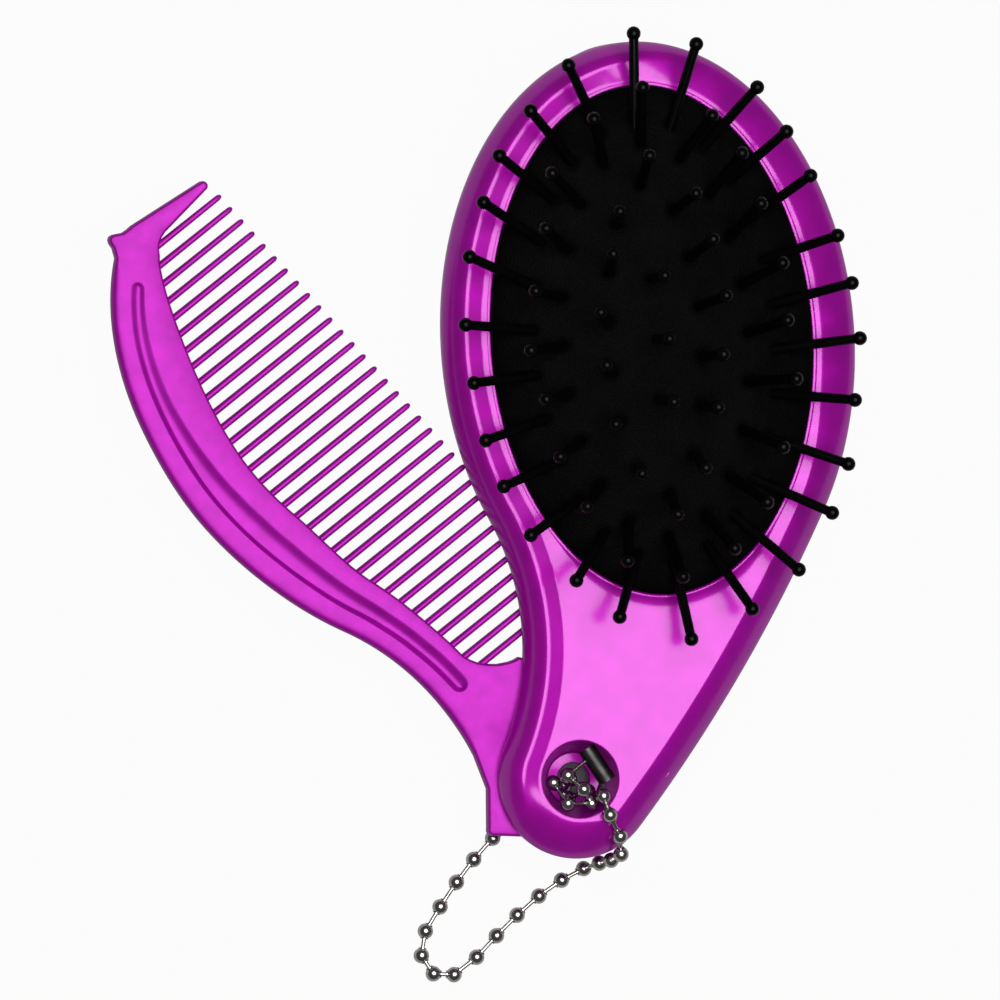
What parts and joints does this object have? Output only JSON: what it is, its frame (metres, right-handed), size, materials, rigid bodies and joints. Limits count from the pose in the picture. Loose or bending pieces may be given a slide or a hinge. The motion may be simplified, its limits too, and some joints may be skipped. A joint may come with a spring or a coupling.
{
  "type": "pocket hairbrush with swing-out comb",
  "caption": "Pocket hairbrush: oval cushion of ball-tipped pins in two moulded shells, a crescent comb that swings out on a handle pivot, a mirror on the back and a ball-chain loop.",
  "frame": {"origin": "on the comb's hinge axis, at the plane that the brush rests on", "axes": "+Z along the bristles and along the hinge axis, +Y from the handle end to the head, +X to the closed side"},
  "size_m": [0.0898, 0.1125, 0.0262],
  "materials": {
    "shell": "vacuum-metallised magenta, clear lacquered",
    "comb": "metallised magenta, satin",
    "mirror": "silvered glass",
    "tape": "foam adhesive pad",
    "rubber": "matt black, fine grain",
    "inner_plastic": "matt black moulding",
    "pins": "satin black nylon",
    "nickel": "nickel-plated steel"
  },
  "bodies": {
    "brush": {"front_shell": "shell", "back_shell": "shell", "mirror": "mirror", "mirror_tape": "tape", "cushion": "rubber", "cushion_base": "inner_plastic", "pins_outer": "pins", "pins_second": "pins", "pins_third": "pins", "pins_centre": "pins", "chain_beads": "nickel", "chain_links": "nickel", "chain_clasp": "nickel"},
    "comb": {"comb": "comb"}
  },
  "joints": [
    {"name": "comb_swing", "type": "hinge", "parent": "brush", "child": "comb", "pos_m": [0, 0, 0.0062], "axis": [0, 0, 1], "range_deg": [-38.3, 50]}
  ]
}
